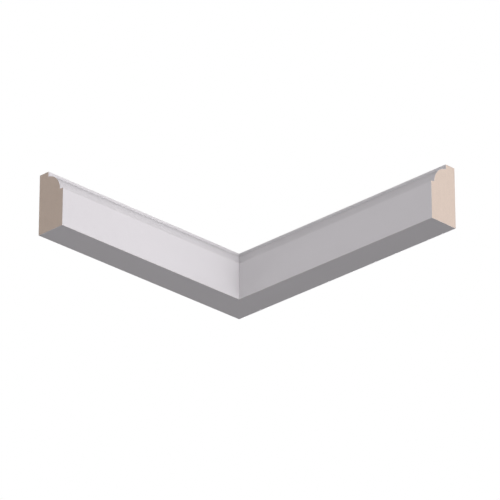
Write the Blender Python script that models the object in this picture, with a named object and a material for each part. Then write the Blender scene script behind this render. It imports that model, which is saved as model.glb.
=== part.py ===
"""An inside corner of decorative moulding: two lengths of one section, mitred together at a right angle.

The section has a broad flat face below, a narrow sloping ledge above it, a large quarter-round (an
ovolo), and a slim square fillet against the wall at the top. Each length is cut from straight stock,
with a 45 degree mitre at the wall corner and a square cut at its free end. Metres, +Z up. The corner
lies far left, one length runs right along +X from it and the other towards the viewer along -Y, and
the origin is the middle of the bounding box's underside.
"""

import math

import bmesh
import bpy

# The section, from the back (against the wall) forwards and from the underside up.
HEIGHT = 0.060
DEPTH = 0.0312
FACE_HEIGHT = 0.0370  # flat front face, up to the ledge's outer edge
LEDGE_WIDTH = 0.0040  # how far the round is set back from the face
LEDGE_RISE = 0.0007  # how much the ledge climbs towards the back
FILLET_WIDTH = 0.0116  # flat top, from the back
FILLET_HEIGHT = 0.0050  # the fillet's front, down to where the round begins
ARRIS_RADIUS = 0.0003  # the eased show edges

# The two lengths, along their backs, from the wall corner to the square cut.
RIGHT_LENGTH = 0.2735
LEFT_LENGTH = 0.253
JOINT_GAP = 0.0003  # between the two mitred faces, square to them

# How finely the curves are divided.
ROUND_STEPS = 28
ARRIS_STEPS = 4
SMOOTH_BELOW = math.radians(25)


def clear_scene():
    for thing in list(bpy.data.objects):
        bpy.data.objects.remove(thing, do_unlink=True)


def plain_material(name, colour, roughness):
    material = bpy.data.materials.new(name)
    material.use_nodes = True
    shader = material.node_tree.nodes["Principled BSDF"]
    shader.inputs["Base Color"].default_value = (*colour, 1.0)
    shader.inputs["Roughness"].default_value = roughness
    shader.inputs["Metallic"].default_value = 0.0
    material.diffuse_color = (*colour, 1.0)
    return material


def arc_points(centre, radius, first, last, steps):
    """Points of an arc, both ends included, from the angle first to the angle last."""
    turns = [first + (last - first) * step / steps for step in range(steps + 1)]
    return [(centre[0] + radius * math.cos(a), centre[1] + radius * math.sin(a)) for a in turns]


def eased_corner(before, corner, after, radius, steps=ARRIS_STEPS):
    """An arc of that radius in place of a sharp corner, tangent to the two edges that meet there."""
    to_before = math.atan2(before[1] - corner[1], before[0] - corner[0])
    to_after = math.atan2(after[1] - corner[1], after[0] - corner[0])
    opening = (to_after - to_before) % math.tau
    opening = min(opening, math.tau - opening)
    to_centre = math.atan2(
        math.sin(to_before) + math.sin(to_after), math.cos(to_before) + math.cos(to_after)
    )
    reach = radius / math.sin(opening / 2)
    centre = (corner[0] + reach * math.cos(to_centre), corner[1] + reach * math.sin(to_centre))
    sweep = math.pi - opening
    middle = to_centre + math.pi
    return arc_points(centre, radius, middle - sweep / 2, middle + sweep / 2, steps)


def ovolo(lower, upper):
    """The large round: the arc through both of its ends whose centre is level with the face's top."""
    low_rise = lower[1] - FACE_HEIGHT
    high_rise = upper[1] - FACE_HEIGHT
    centre_depth = (lower[0] ** 2 - upper[0] ** 2 + low_rise**2 - high_rise**2) / (
        2 * (lower[0] - upper[0])
    )
    radius = math.hypot(lower[0] - centre_depth, low_rise)
    first = math.atan2(low_rise, lower[0] - centre_depth)
    last = math.atan2(high_rise, upper[0] - centre_depth)
    return arc_points((centre_depth, FACE_HEIGHT), radius, first, last, ROUND_STEPS)


def section_outline():
    """The section as (depth from the back, height) points, anticlockwise from the back of the underside."""
    back_low = (0.0, 0.0)
    front_low = (DEPTH, 0.0)
    face_top = (DEPTH, FACE_HEIGHT)
    ledge_back = (DEPTH - LEDGE_WIDTH, FACE_HEIGHT + LEDGE_RISE)
    fillet_foot = (FILLET_WIDTH, HEIGHT - FILLET_HEIGHT)
    fillet_top = (FILLET_WIDTH, HEIGHT)
    back_high = (0.0, HEIGHT)
    return [
        back_low,
        *eased_corner(back_low, front_low, face_top, ARRIS_RADIUS),
        *eased_corner(front_low, face_top, ledge_back, ARRIS_RADIUS),
        *ovolo(ledge_back, fillet_foot),
        *eased_corner(fillet_foot, fillet_top, back_high, ARRIS_RADIUS),
        back_high,
    ]


def run_stock(shape, start, finish):
    """A straight run of the section from x = start to x = finish, its back on y = 0 and its face at -y."""
    rim = [shape.verts.new((start, -depth, height)) for depth, height in section_outline()]
    end = shape.faces.new(rim)
    grown = bmesh.ops.extrude_face_region(shape, geom=[end])["geom"]
    moved = [part for part in grown if isinstance(part, bmesh.types.BMVert)]
    bmesh.ops.translate(shape, verts=moved, vec=(finish - start, 0, 0))
    bmesh.ops.recalc_face_normals(shape, faces=shape.faces)


def cut_mitre(shape, keep):
    """Saws the run off along the 45 degree plane through the wall corner, half a joint gap clear of it.

    keep is +1 for the length that runs towards +x from the corner, -1 for the one that runs towards -x.
    """
    normal = (keep * math.sqrt(0.5), math.sqrt(0.5), 0)
    point = tuple(JOINT_GAP / 2 * part for part in normal)
    everything = [*shape.verts, *shape.edges, *shape.faces]
    cut = bmesh.ops.bisect_plane(
        shape, geom=everything, dist=1e-7, plane_co=point, plane_no=normal, clear_inner=True
    )
    open_edges = [part for part in cut["geom_cut"] if isinstance(part, bmesh.types.BMEdge)]
    bmesh.ops.edgeloop_fill(shape, edges=open_edges)
    bmesh.ops.recalc_face_normals(shape, faces=shape.faces)


def bare_the_cuts(mesh):
    """Sawn faces show the board; every face that runs along the length is painted."""
    for face in mesh.polygons:
        face.material_index = 1 if abs(face.normal.x) > 0.5 else 0


def cut_length(name, start, finish, keep, turn, corner, finishes):
    """One length of the moulding, turned about the wall corner and hung on the empty there."""
    shape = bmesh.new()
    run_stock(shape, start, finish)
    cut_mitre(shape, keep)
    mesh = bpy.data.meshes.new(name)
    shape.to_mesh(mesh)
    shape.free()
    for finish_material in finishes:
        mesh.materials.append(finish_material)
    bare_the_cuts(mesh)
    mesh.shade_smooth()
    mesh.set_sharp_from_angle(angle=SMOOTH_BELOW)
    length = bpy.data.objects.new(name, mesh)
    length.rotation_euler = (0, 0, turn)
    length.parent = corner
    bpy.context.scene.collection.objects.link(length)


def main():
    clear_scene()
    finishes = [
        plain_material("white_paint", (0.80, 0.79, 0.80), 0.45),
        plain_material("raw_board", (0.62, 0.51, 0.44), 0.85),
    ]
    corner = bpy.data.objects.new("wall_corner", None)
    corner.location = (-RIGHT_LENGTH / 2, LEFT_LENGTH / 2, 0)
    bpy.context.scene.collection.objects.link(corner)
    cut_length("right_length", 0.0, RIGHT_LENGTH, 1, 0.0, corner, finishes)
    cut_length("left_length", -LEFT_LENGTH, 0.0, -1, math.pi / 2, corner, finishes)


main()
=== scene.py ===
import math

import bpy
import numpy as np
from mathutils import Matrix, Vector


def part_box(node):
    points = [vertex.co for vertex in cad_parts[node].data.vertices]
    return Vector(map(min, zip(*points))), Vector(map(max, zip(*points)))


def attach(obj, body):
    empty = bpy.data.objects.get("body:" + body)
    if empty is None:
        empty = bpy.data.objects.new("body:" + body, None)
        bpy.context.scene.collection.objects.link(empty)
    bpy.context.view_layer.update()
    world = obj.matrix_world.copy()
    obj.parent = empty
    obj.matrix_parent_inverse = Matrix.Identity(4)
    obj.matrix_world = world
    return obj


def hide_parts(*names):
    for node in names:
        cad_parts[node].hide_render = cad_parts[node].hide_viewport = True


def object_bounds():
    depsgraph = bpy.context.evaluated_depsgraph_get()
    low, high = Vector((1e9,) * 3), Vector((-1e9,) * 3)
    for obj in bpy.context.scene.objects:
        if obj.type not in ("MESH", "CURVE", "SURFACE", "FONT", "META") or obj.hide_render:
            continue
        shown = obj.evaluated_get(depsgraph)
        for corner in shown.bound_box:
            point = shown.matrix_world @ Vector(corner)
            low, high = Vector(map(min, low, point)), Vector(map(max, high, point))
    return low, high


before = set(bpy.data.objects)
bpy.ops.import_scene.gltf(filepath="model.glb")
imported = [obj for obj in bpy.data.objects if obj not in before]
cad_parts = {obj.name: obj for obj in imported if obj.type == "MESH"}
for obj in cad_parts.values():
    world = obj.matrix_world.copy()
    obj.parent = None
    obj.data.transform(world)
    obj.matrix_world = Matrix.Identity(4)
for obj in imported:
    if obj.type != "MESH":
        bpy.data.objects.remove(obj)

# The looks of an inside corner of white painted moulding: two lengths of one section, mitred at a
# right angle, with their sawn ends left bare. Metres, +Z up. Each length is worked out in its own
# board space: along it from the wall corner, depth out from its back, and height up from its
# underside.

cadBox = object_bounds()
wallCorner = Vector((cadBox[0].x, cadBox[1].y, cadBox[0].z))  # the foot of where the two backs meet
sectionHeight = cadBox[1].z - cadBox[0].z
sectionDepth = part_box("right_length")[1].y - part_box("right_length")[0].y
print("frame loaded, with", ", ".join(sorted(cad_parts)))

# The camera

photoView = {
    # The view was fitted to the object's straight edges in the photograph.
    "bearing": 45.0,  # degrees round from the front: it stands between the two lengths
    "lookUp": 25.6375,  # degrees above level
    "lensMm": 317.49,
    "sensorMm": 36.0,
    "cornerDistance": 4.1023,  # from the camera to the wall corner's foot, along the view
    "cornerPixel": (239.14, 319.46),  # where that foot falls in the picture
    "pictureSize": 500,  # pixels each way
    "nearest": 0.1,  # what lies nearer or farther than these isn't drawn
    "farthest": 200.0,
}


# Stands the camera off from the wall corner's foot along the view, and moves it sideways and up in
# its own plane until the foot falls at its pixel.
def placeCamera(view, foot):
    bearing = math.radians(view["bearing"])
    lookUp = math.radians(view["lookUp"])
    level = Vector((-math.sin(bearing), math.cos(bearing), 0))
    forward = level * math.cos(lookUp) + Vector((0, 0, math.sin(lookUp)))
    right = Vector((math.cos(bearing), math.sin(bearing), 0))
    up = right.cross(forward)
    camera = bpy.data.cameras.new("photoCamera")
    camera.lens = view["lensMm"]
    camera.sensor_width = view["sensorMm"]
    camera.clip_start = view["nearest"]
    camera.clip_end = view["farthest"]
    perPixel = view["cornerDistance"] * camera.sensor_width / camera.lens / view["pictureSize"]
    middle = view["pictureSize"] / 2
    sideways = (view["cornerPixel"][0] - middle) * perPixel
    below = (view["cornerPixel"][1] - middle) * perPixel
    cameraObject = bpy.data.objects.new("photoCamera", camera)
    place = foot - forward * view["cornerDistance"] - right * sideways + up * below
    turn = Matrix((right, up, -forward)).transposed()
    cameraObject.matrix_world = Matrix.Translation(place) @ turn.to_4x4()
    bpy.context.scene.collection.objects.link(cameraObject)
    bpy.context.scene.camera = cameraObject


placeCamera(photoView, wallCorner)
print("camera placed")

# The studio

studio = {
    # Each lamp's bearing round from +X and height above level in degrees, the degrees of sky that
    # it fills, and its strength. A least-squares fit to tones measured in the photograph picked
    # the lamps and gave their strengths, which were then rounded.
    "lamps": {
        "leftFaceMiddle": (0, 10, 60, 1.15),
        "leftFaceFront": (-20, 10, 60, 0.56),
        "leftFaceSide": (20, 10, 60, 0.30),
        "leftFaceGlance": (30, 25, 25, 0.15),
        "rightFaceMiddle": (-120, 10, 60, 0.35),
        "rightFaceUpper": (-120, 50, 30, 0.11),
        "rightFaceShoulder": (-120, 25, 25, 0.13),
        "rightFaceLower": (-120, -20, 30, 0.13),
        "rightFaceGlance": (-150, 25, 25, 0.11),
        "underFront": (-75, -35, 60, 0.70),
        "underRight": (15, -35, 60, 0.84),
        "underLeft": (-150, -20, 30, 0.31),
        "topBack": (90, 50, 30, 0.15),
        "topCorner": (135, 35, 60, 0.11),
        "topLeft": (180, 50, 30, 0.14),
        "behind": (120, 12, 20, 2.6),  # low enough to leave the show side alone
    },
    "lampDistance": 3,  # where a lamp's symbol stands, which doesn't change its light
    "tint": (1.0, 0.967, 1.0),  # every lamp's colour, a shade towards pink
    "white": 1.0,  # the backdrop and the floor, as the camera sees them
    "floorDrop": 4.5,  # the floor lies this far under the object, below the low camera
    "floorSize": 60.0,
}


# A new node, with each input linked to a socket or set to a value, and its own settings.
def addNode(tree, kind, inputs=None, **settings):
    node = tree.nodes.new(kind)
    for name, value in settings.items():
        setattr(node, name, value)
    for name, value in (inputs or {}).items():
        if isinstance(value, bpy.types.NodeSocket):
            tree.links.new(value, node.inputs[name])
        else:
            node.inputs[name].default_value = value
    return node


# White where the camera looks past the object, and black to every other ray, so that the lamps
# alone light it.
def makeWorld(settings):
    world = bpy.data.worlds.new("studioSurround")
    world.use_nodes = True
    tree = world.node_tree
    tree.nodes.clear()
    inPicture = addNode(tree, "ShaderNodeLightPath").outputs["Is Camera Ray"]
    terms = {0: inPicture, 1: settings["white"]}
    glow = addNode(tree, "ShaderNodeMath", terms, operation="MULTIPLY").outputs[0]
    seen = addNode(tree, "ShaderNodeBackground", {"Color": (1, 1, 1, 1), "Strength": glow})
    addNode(tree, "ShaderNodeOutputWorld", {"Surface": seen.outputs[0]})
    bpy.context.scene.world = world


# A soft lamp with no place of its own: a sun whose disc fills a wide round of sky.
def addLamp(name, settings, bearing, above, across, strength):
    lamp = bpy.data.lights.new(name, "SUN")
    lamp.color = settings["tint"]
    lamp.energy = strength
    lamp.angle = math.radians(across)
    lampObject = bpy.data.objects.new(name, lamp)
    turn, climb = math.radians(bearing), math.radians(above)
    level = Vector((math.cos(turn), math.sin(turn), 0))
    towards = level * math.cos(climb) + Vector((0, 0, math.sin(climb)))
    lampObject.location = towards * settings["lampDistance"]
    lampObject.rotation_euler = towards.to_track_quat("Z", "Y").to_euler()
    bpy.context.scene.collection.objects.link(lampObject)


# A wide flat square under everything, which shows as the backdrop's white and neither lights the
# object nor shades it.
def layFloor(settings):
    half = settings["floorSize"] / 2
    level = cadBox[0].z - settings["floorDrop"]
    square = ((-half, -half), (half, -half), (half, half), (-half, half))
    mesh = bpy.data.meshes.new("floor")
    mesh.from_pydata([(x, y, level) for x, y in square], [], [(0, 1, 2, 3)])
    material = bpy.data.materials.new("floorWhite")
    material.use_nodes = True
    tree = material.node_tree
    tree.nodes.clear()
    white = {"Color": (1, 1, 1, 1), "Strength": settings["white"]}
    glow = addNode(tree, "ShaderNodeEmission", white)
    addNode(tree, "ShaderNodeOutputMaterial", {"Surface": glow.outputs[0]})
    mesh.materials.append(material)
    floor = bpy.data.objects.new("floor", mesh)
    floor.visible_diffuse = False
    floor.visible_glossy = False
    floor.visible_shadow = False
    bpy.context.scene.collection.objects.link(floor)


makeWorld(studio)
for lampName, lampSettings in studio["lamps"].items():
    addLamp(lampName, studio, *lampSettings)
layFloor(studio)
bpy.context.scene.view_settings.view_transform = "Standard"
print("studio lit with", len(studio["lamps"]), "soft lamps")

# The section

mouldingSection = {
    "faceHeight": 0.0370,  # flat front face, up to the ledge's outer edge
    "ledgeWidth": 0.0040,  # how far the round is set back from the face
    "ledgeRise": 0.0007,  # how much the ledge climbs towards the back
    "filletWidth": 0.0116,  # flat top, from the back
    "filletHeight": 0.0050,  # the fillet's front, down to where the round begins
    "arrisRadius": 0.0003,  # the eased edges of the face
    "filletArrisRadius": 0.00012,
    "backArrisRadius": 0.0004,
    "creaseRadius": 0.0002,  # where paint gathers in the two inside corners
    "thinReach": 0.0006,  # how far from an eased edge the coat is thin
    # How many steps divide each small arc or strip, the round, the face, and the cut from back to
    # front.
    "arcSteps": 6,
    "roundSteps": 56,
    "flatSteps": 56,
    "acrossSteps": 56,
    "sharpAbove": 35,  # degrees between two facets past which their edge is shaded sharp
}


# Numbers from 0 to 1 that crowd towards both ends: half of one minus the cosine of an even half
# turn.
def crowdedEnds(steps):
    return (1 - np.cos(np.linspace(0, np.pi, steps + 1))) / 2


# Points of a circle: the centre plus the radius times the cosine and sine of an evenly turning
# angle.
def arcPoints(centre, radius, first, last, steps):
    turn = np.linspace(first, last, steps + 1)[:, None]
    return centre + radius * np.hstack((np.cos(turn), np.sin(turn)))


# The directions from a corner along its two straight edges, and half the angle between them.
def edgesFrom(before, corner, after):
    towards = (before - corner) / np.linalg.norm(before - corner)
    away = (after - corner) / np.linalg.norm(after - corner)
    return towards, away, np.arccos(np.clip(towards @ away, -1, 1)) / 2


# How far from a corner an easing arc leaves the straight edges: the radius over the tangent of half
# the angle between them.
def easingReach(before, corner, after, radius):
    return radius / np.tan(edgesFrom(before, corner, after)[2])


# An arc in place of a corner, tangent to both edges. Its centre is on the line that halves the
# angle, the radius over the sine of half the angle from the corner.
def easedCorner(before, corner, after, radius, steps):
    towards, away, half = edgesFrom(before, corner, after)
    halving = (towards + away) / np.linalg.norm(towards + away)
    centre = corner + halving * radius / np.sin(half)
    reach = radius / np.tan(half)
    start = corner + towards * reach - centre
    end = corner + away * reach - centre
    first = np.arctan2(start[1], start[0])
    turn = (np.arctan2(end[1], end[0]) - first + np.pi) % (2 * np.pi) - np.pi
    return arcPoints(centre, radius, first, first + turn, steps)


# The inner points of a straight stretch, crowded towards both of its ends.
def straightStretch(start, end, steps):
    return start + (end - start) * crowdedEnds(steps)[1:-1, None]


# The section's sharp corners as (depth, height), as they would be drawn before any easing.
def sectionCorners(section, depth, height):
    ledgeTop = section["faceHeight"] + section["ledgeRise"]
    return {
        "lowBack": np.array((0.0, 0.0)),
        "lowFront": np.array((depth, 0.0)),
        "faceTop": np.array((depth, section["faceHeight"])),
        "ledgeBack": np.array((depth - section["ledgeWidth"], ledgeTop)),
        "filletFoot": np.array((section["filletWidth"], height - section["filletHeight"])),
        "filletTop": np.array((section["filletWidth"], height)),
        "highBack": np.array((0.0, height)),
    }


# The show side from the underside up, as rows of (depth, height). Heights only ever climb. The
# round's centre is level with the face's top and equally far from the round's two ends.
def frontCurve(section, corners):
    lowBack, lowFront, faceTop, ledgeBack, filletFoot, filletTop, highBack = corners.values()
    steps = section["arcSteps"]
    arris = section["arrisRadius"]
    crease = section["creaseRadius"]
    lowRise = ledgeBack[1] - faceTop[1]
    highRise = filletFoot[1] - faceTop[1]
    across = (ledgeBack[0] ** 2 - filletFoot[0] ** 2 + lowRise**2 - highRise**2) / (
        2 * (ledgeBack[0] - filletFoot[0])
    )
    centre = np.array((across, faceTop[1]))
    radius = np.linalg.norm(ledgeBack - centre)
    lowTurn = np.arctan2(*(ledgeBack - centre)[::-1])
    highTurn = np.arctan2(*(filletFoot - centre)[::-1])
    # The creases treat the round as straight where it starts and ends, and shorten it a little.
    afterLedge = ledgeBack + (-np.sin(lowTurn), np.cos(lowTurn))
    beforeFillet = filletFoot - (-np.sin(highTurn), np.cos(highTurn))
    lowTrim = easingReach(faceTop, ledgeBack, afterLedge, crease) / radius
    highTrim = easingReach(beforeFillet, filletFoot, filletTop, crease) / radius
    roundEnds = (lowTurn + lowTrim, highTurn - highTrim)
    bottomArris = easedCorner(lowBack, lowFront, faceTop, arris, steps)
    faceArris = easedCorner(lowFront, faceTop, ledgeBack, arris, steps)
    ledgeCrease = easedCorner(faceTop, ledgeBack, afterLedge, crease, steps)
    ovolo = arcPoints(centre, radius, *roundEnds, section["roundSteps"])
    filletCrease = easedCorner(beforeFillet, filletFoot, filletTop, crease, steps)
    filletArris = easedCorner(
        filletFoot, filletTop, highBack, section["filletArrisRadius"], steps
    )
    return np.vstack((
        bottomArris,
        straightStretch(bottomArris[-1], faceArris[0], section["flatSteps"]),
        faceArris,
        straightStretch(faceArris[-1], ledgeCrease[0], steps),
        ledgeCrease,
        ovolo[1:-1],
        filletCrease,
        straightStretch(filletCrease[-1], filletArris[0], steps),
        filletArris,
    ))


# The back at the same heights: flat, and eased by a quarter circle at its foot and head.
def backCurve(section, heights, height):
    radius = section["backArrisRadius"]
    fromEnd = np.minimum(heights, height - heights)
    inEasing = np.clip(radius - fromEnd, 0, radius)
    depths = radius - np.sqrt(np.maximum(radius**2 - inEasing**2, 0))
    return np.column_stack((depths, heights))


# Each point moved into the board by a distance, square to the chord between its neighbours, which
# is taken as level at the curve's two ends. The side is 1 for the show side and -1 for the back.
def movedInwards(curve, distance, side):
    chord = np.gradient(curve, axis=0)
    chord[0], chord[-1] = (side, 0), (-side, 0)
    chord /= np.linalg.norm(chord, axis=1)[:, None]
    return curve + distance * side * np.column_stack((-chord[:, 1], chord[:, 0]))


# A grid over the section: row by row, straight from the back's point to the front's.
def ruledGrid(back, front, steps):
    share = crowdedEnds(steps)[None, :, None]
    return back[:, None] + (front - back)[:, None] * share


# Rows and columns of the points round a grid's rim: along the foot, up the front, back over the top
# and down the back.
def rimOf(rows, columns):
    up, across = np.arange(rows), np.arange(columns)
    rimRows = (0 * across, up[1:], 0 * across[1:] + rows - 1, up[-2:0:-1])
    rimColumns = (across, 0 * up[1:] + columns - 1, across[-2::-1], 0 * up[-2:0:-1])
    return np.concatenate(rimRows), np.concatenate(rimColumns)


# The sawn ends

sawing = {
    "paintFilm": 0.00011,  # the coat's edge, seen round the bare board
    "mitreGap": 0.000005,  # half of what parts the two pieces at the mitre, square to it
    "mitreSink": 0.00006,  # how deep the coat dips into the joint
    "mitreWidth": 0.0002,  # and how far along each length the dip reaches
    "bladeMiddle": (-0.045, 0.118),  # (depth, height) of the middle of the arcs
    "toothPitch": 0.0023,  # from one arc to the next
    "toothDepth": 0.00003,
    "slowPitch": 0.017,  # of the slower wave
    "slowSlant": 40,  # radians that the slower wave gains with each metre of depth
    "slowShift": 1.3,  # radians by which it shifts the arcs
    "slowShare": 0.35,  # how much of their depth it changes
}


# How far in the saw left each point of a cut. The arcs are half of one plus the sine of a full turn
# every pitch of distance from the blade's middle, and a slower wave of the same kind shifts them
# and makes some deeper. The rim, which meets the coat's edge, stays at nothing.
def sawRelief(grid, cut):
    reach = 2 * np.pi * np.linalg.norm(grid - cut["bladeMiddle"], axis=-1)
    drift = np.sin(reach / cut["slowPitch"] + cut["slowSlant"] * grid[..., 0])
    arcs = 0.5 + 0.5 * np.sin(reach / cut["toothPitch"] + cut["slowShift"] * drift)
    relief = cut["toothDepth"] * arcs * (1 - cut["slowShare"] + cut["slowShare"] * drift)
    relief[[0, -1]] = 0
    relief[:, [0, -1]] = 0
    return relief


# The two lengths

rightLength = {
    "node": "right_length",
    "piece": "paintedRightLength",
    "run": (1, 0, 0),  # from the wall corner towards the free end
    "out": (0, -1, 0),  # from the back towards the show face
    "cutFrom": 0.0,  # metres along the stock, which sets this length's own mottle and fibre
    "boardColour": (0.777, 0.660, 0.553),  # worked out from its cut's tone in the photograph
    "stations": 64,  # steps along the length
}
leftLength = {
    "node": "left_length",
    "piece": "paintedLeftLength",
    "run": (0, -1, 0),
    "out": (1, 0, 0),
    "cutFrom": 0.9,
    "boardColour": (0.680, 0.572, 0.472),
    "stations": 64,
}


# The section carried along its length. A sunk rim lies in the joint, where each point is as far
# along as it is deep. Past the dip's width, every rim point lies at each station a share of the way
# from there to the square cut at the free end.
def carriedRim(rim, sunkRim, runLength, cut, stations):
    joint = np.column_stack((sunkRim[:, 0] + cut["mitreGap"] * math.sqrt(2), sunkRim))
    start = rim[:, 0] + cut["mitreWidth"]
    share = crowdedEnds(stations)[:, None]
    along = start + (runLength - start) * share
    depth = np.broadcast_to(rim[:, 0], along.shape)
    height = np.broadcast_to(rim[:, 1], along.shape)
    return np.concatenate((joint[None], np.stack((along, depth, height), axis=-1)))


# Quads over rows of points that are numbered on from a first: each point, the next in its row, and
# the same two in the row after. In closed rows the last point's next is the first.
def quadsOver(first, rows, columns, closed):
    row, column = np.meshgrid(
        np.arange(rows - 1), np.arange(columns if closed else columns - 1), indexing="ij"
    )
    following = (column + 1) % columns
    start = first + row * columns
    corners = (start + column, start + following, start + columns + following)
    return np.stack((*corners, start + columns + column), axis=-1).reshape(-1, 4)


# The faces of a length whose rims are numbered first and the grid over its cut after them: painted
# quads round the length and over the coat's edge, and bare quads over the grid inside it.
def lengthQuads(rimStations, rows, columns, rimRows, rimColumns):
    rimCount = len(rimRows)
    gridStart = rimStations * rimCount
    lastRim = gridStart - rimCount + np.arange(rimCount)
    innerRim = gridStart + rimRows * columns + rimColumns
    filmCorners = (lastRim, np.roll(lastRim, -1), np.roll(innerRim, -1), innerRim)
    quadsRound = quadsOver(0, rimStations, rimCount, closed=True)
    painted = np.vstack((quadsRound, np.column_stack(filmCorners)))
    return painted, quadsOver(gridStart, rows, columns, closed=False)


# One at a sharp corner of the section, falling off round it as a bell of the distance.
def nearCorners(places, corners, spread):
    away = [np.linalg.norm(places[:, 1:] - corner, axis=1) for corner in corners]
    return np.exp(-((np.min(away, axis=0) / spread) ** 2))


# One length as a closed skin: the section's rim carried from the joint to the free end, a grid of
# bare board set in there by the coat's edge and the saw's arcs, and one flat face over the joint.
# A place is the wall corner plus the distance along times the run, the depth times the way out, and
# the height straight up.
def makeLength(settings, section, cut):
    run = np.array(settings["run"], float)
    out = np.array(settings["out"], float)
    ends = np.array(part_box(settings["node"])) - np.array(wallCorner)
    runLength = (ends @ run).max()
    corners = sectionCorners(section, sectionDepth, sectionHeight)
    front = frontCurve(section, corners)
    back = backCurve(section, front[:, 1], sectionHeight)
    rows, columns = len(front), section["acrossSteps"] + 1
    rimRows, rimColumns = rimOf(rows, columns)
    full, sunk, cap = (
        ruledGrid(movedInwards(back, inset, -1), movedInwards(front, inset, 1), columns - 1)
        for inset in (0.0, cut["mitreSink"], cut["paintFilm"])
    )
    rim, sunkRim = full[rimRows, rimColumns], sunk[rimRows, rimColumns]
    outer = carriedRim(rim, sunkRim, runLength, cut, settings["stations"])
    capAlong = runLength - sawRelief(cap, cut)
    capPlaces = np.concatenate((capAlong[..., None], cap), axis=-1)
    places = np.vstack((outer.reshape(-1, 3), capPlaces.reshape(-1, 3)))

    painted, bare = lengthQuads(len(outer), rows, columns, rimRows, rimColumns)
    quads = np.vstack((painted, bare))
    joint = np.arange(len(rimRows))[::-1]
    isBare = np.repeat((0, 1), (len(painted), len(bare) + 1)).astype(np.int32)
    if np.linalg.det((run, out, (0, 0, 1))) < 0:  # the placing mirrors the board space
        quads = quads[:, ::-1]
        joint = joint[::-1]

    alongRun, alongOut = places[:, :1] * run, places[:, 1:2] * out
    placed = np.array(wallCorner) + alongRun + alongOut + places[:, 2:] * (0, 0, 1)
    mesh = bpy.data.meshes.new(settings["piece"])
    mesh.from_pydata(placed.tolist(), [], quads.tolist() + [joint.tolist()])
    mesh.polygons.foreach_set("material_index", isBare)
    inStock = places + (settings["cutFrom"], 0, 0)
    boardPlace = mesh.attributes.new("boardPlace", "FLOAT_VECTOR", "POINT")
    boardPlace.data.foreach_set("vector", inStock.astype(np.float32).ravel())
    arrisNames = ("lowBack", "lowFront", "faceTop", "filletTop", "highBack")
    thin = nearCorners(places, [corners[name] for name in arrisNames], section["thinReach"])
    thinCoat = mesh.attributes.new("thinCoat", "FLOAT", "POINT")
    thinCoat.data.foreach_set("value", thin.astype(np.float32))
    mesh.shade_smooth()
    mesh.set_sharp_from_angle(angle=math.radians(section["sharpAbove"]))
    mesh.update()
    piece = bpy.data.objects.new(settings["piece"], mesh)
    bpy.context.scene.collection.objects.link(piece)
    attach(piece, "root")
    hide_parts(settings["node"])
    print(settings["piece"], "made,", len(mesh.polygons), "faces")
    return piece


# The finishes

paintFinish = {
    "colour": (0.80, 0.795, 0.80),
    "thinColour": (0.735, 0.715, 0.69),  # the coat pulled thin over an eased edge
    "thinShare": 0.60,
    "mottleShare": 0.024,
    "roughness": 0.42,
    "roughnessSpread": 0.06,
    "peelDepth": 0.00003,
    "brushDepth": 0.000005,
    # Each noise's lump size, detail, and stretch along the length, outwards and upwards.
    "mottle": (0.035, 3.0, (2, 1, 1)),
    "wear": (0.004, 3.0, (4, 1, 1)),
    "sheen": (0.009, 2.0, (5, 1, 1)),
    "brushing": (0.0005, 1.0, (60, 1, 1)),
    "peel": (0.0012, 2.0, (1, 1, 1)),
}

boardFinish = {
    "fleckShare": 0.085,
    "clumpShare": 0.035,
    "bandShare": 0.025,
    "skinDepth": 0.0016,  # the denser skins behind the back and the show face
    "skinShare": 0.05,
    "roughness": 0.88,
    "roughnessSpread": 0.05,
    "specular": 0.25,
    "fibreDepth": 0.00005,
    # Each noise's lump size, detail, and stretch along the length, outwards and upwards.
    "fleck": (0.00032, 3.0, (1, 1, 2.2)),
    "crossFleck": (0.00032, 3.0, (1, 2.5, 1)),
    "clump": (0.0035, 3.0, (1, 0.8, 1.4)),
    "band": (0.0016, 2.0, (20, 1, 16)),  # soft layers of the pressed board, along its faces
}


# A material whose shader waits for its colour, roughness and normal, and the place in the board to
# draw them by.
def startFinish(name):
    material = bpy.data.materials.new(name)
    material.use_nodes = True
    tree = material.node_tree
    place = addNode(tree, "ShaderNodeAttribute", attribute_name="boardPlace").outputs["Vector"]
    return material, tree, tree.nodes["Principled BSDF"], place


# Cloudy noise between 0 and 1: the place over the lump size, and over its stretch on each axis.
def cloudyNoise(tree, place, size, detail, stretch):
    terms = {0: place, 1: tuple(1 / (size * share) for share in stretch)}
    scaled = addNode(tree, "ShaderNodeVectorMath", terms, operation="MULTIPLY").outputs[0]
    shape = {"Vector": scaled, "Scale": 1.0, "Detail": detail}
    return addNode(tree, "ShaderNodeTexNoise", shape).outputs[0]


# A value times a factor, plus an amount.
def timesPlus(tree, value, factor, amount):
    terms = {0: value, 1: factor, 2: amount}
    return addNode(tree, "ShaderNodeMath", terms, operation="MULTIPLY_ADD").outputs[0]


# A share times twice the noise less one, added to a running amount.
def vary(tree, noise, share, running):
    centred = timesPlus(tree, noise, 2.0, -1.0)
    return timesPlus(tree, centred, share, running)


# A colour times a brightness.
def shaded(tree, colour, brightness):
    terms = {0: colour, "Scale": brightness}
    return addNode(tree, "ShaderNodeVectorMath", terms, operation="SCALE").outputs[0]


# The normal of a surface that a height between 0 and 1 raises by a distance, over the one under it.
def raised(tree, height, distance, under=None):
    relief = {"Strength": 1.0, "Distance": distance, "Height": height}
    bump = addNode(tree, "ShaderNodeBump", relief)
    if under is not None:
        tree.links.new(under, bump.inputs["Normal"])
    return bump.outputs[0]


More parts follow.
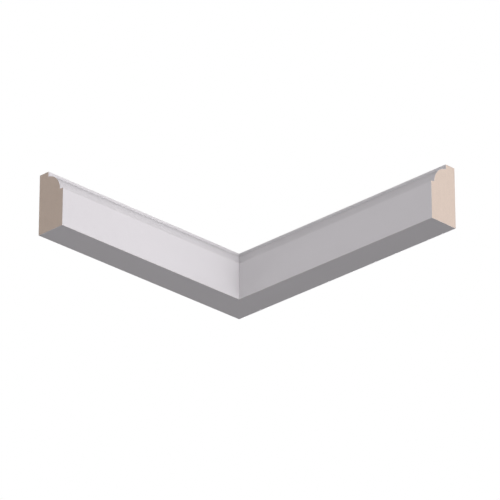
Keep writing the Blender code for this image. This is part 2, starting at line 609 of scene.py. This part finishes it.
# A white satin coat: faintly mottled, thinner in colour where an eased edge is worn, uneven in
# sheen, and slightly peeled over the marks of the brush.
def makePaint(settings):
    material, tree, shader, place = startFinish("whiteSatinPaint")
    mottle = cloudyNoise(tree, place, *settings["mottle"])
    brightness = vary(tree, mottle, settings["mottleShare"], 1.0)
    thin = addNode(tree, "ShaderNodeAttribute", attribute_name="thinCoat").outputs["Fac"]
    terms = {0: thin, 1: cloudyNoise(tree, place, *settings["wear"])}
    thinness = addNode(tree, "ShaderNodeMath", terms, operation="MULTIPLY").outputs[0]
    share = timesPlus(tree, thinness, settings["thinShare"], 0.0)
    # The mixing node's inputs 6 and 7 are its two colours, and its output 2 is their mix.
    blend = {0: share, 6: (*settings["colour"], 1), 7: (*settings["thinColour"], 1)}
    coat = addNode(tree, "ShaderNodeMix", blend, data_type="RGBA").outputs[2]
    tree.links.new(shaded(tree, coat, brightness), shader.inputs["Base Color"])
    sheen = cloudyNoise(tree, place, *settings["sheen"])
    roughness = vary(tree, sheen, settings["roughnessSpread"], settings["roughness"])
    tree.links.new(roughness, shader.inputs["Roughness"])
    brushing = cloudyNoise(tree, place, *settings["brushing"])
    peel = cloudyNoise(tree, place, *settings["peel"])
    brushed = raised(tree, brushing, settings["brushDepth"])
    peeled = raised(tree, peel, settings["peelDepth"], brushed)
    tree.links.new(peeled, shader.inputs["Normal"])
    return material


# Raw board on a sawn end: its colour is varied by flecks both ways, clumps and soft layers, and is
# a little darker in the skins, which fade from the surface to nothing at their depth.
def makeBoard(settings, colour, name):
    material, tree, shader, place = startFinish(name)
    flecks = cloudyNoise(tree, place, *settings["fleck"])
    crossFlecks = cloudyNoise(tree, place, *settings["crossFleck"])
    clumps = cloudyNoise(tree, place, *settings["clump"])
    bands = cloudyNoise(tree, place, *settings["band"])
    brightness = vary(tree, flecks, settings["fleckShare"], 1.0)
    brightness = vary(tree, crossFlecks, settings["fleckShare"], brightness)
    brightness = vary(tree, clumps, settings["clumpShare"], brightness)
    brightness = vary(tree, bands, settings["bandShare"], brightness)
    fromBack = addNode(tree, "ShaderNodeSeparateXYZ", {0: place}).outputs["Y"]
    terms = {0: fromBack, 1: timesPlus(tree, fromBack, -1.0, sectionDepth)}
    nearest = addNode(tree, "ShaderNodeMath", terms, operation="MINIMUM").outputs[0]
    terms = {0: timesPlus(tree, nearest, -1 / settings["skinDepth"], 1.0), 1: 0.0}
    skin = addNode(tree, "ShaderNodeMath", terms, operation="MAXIMUM").outputs[0]
    brightness = timesPlus(tree, skin, -settings["skinShare"], brightness)
    tree.links.new(shaded(tree, colour, brightness), shader.inputs["Base Color"])
    roughness = vary(tree, clumps, settings["roughnessSpread"], settings["roughness"])
    tree.links.new(roughness, shader.inputs["Roughness"])
    tree.links.new(raised(tree, flecks, settings["fibreDepth"]), shader.inputs["Normal"])
    shader.inputs["Specular IOR Level"].default_value = settings["specular"]
    return material


paint = makePaint(paintFinish)
for length in (rightLength, leftLength):
    piece = makeLength(length, mouldingSection, sawing)
    piece.data.materials.append(paint)
    board = makeBoard(boardFinish, length["boardColour"], length["piece"] + "Board")
    piece.data.materials.append(board)
print("finishes made")
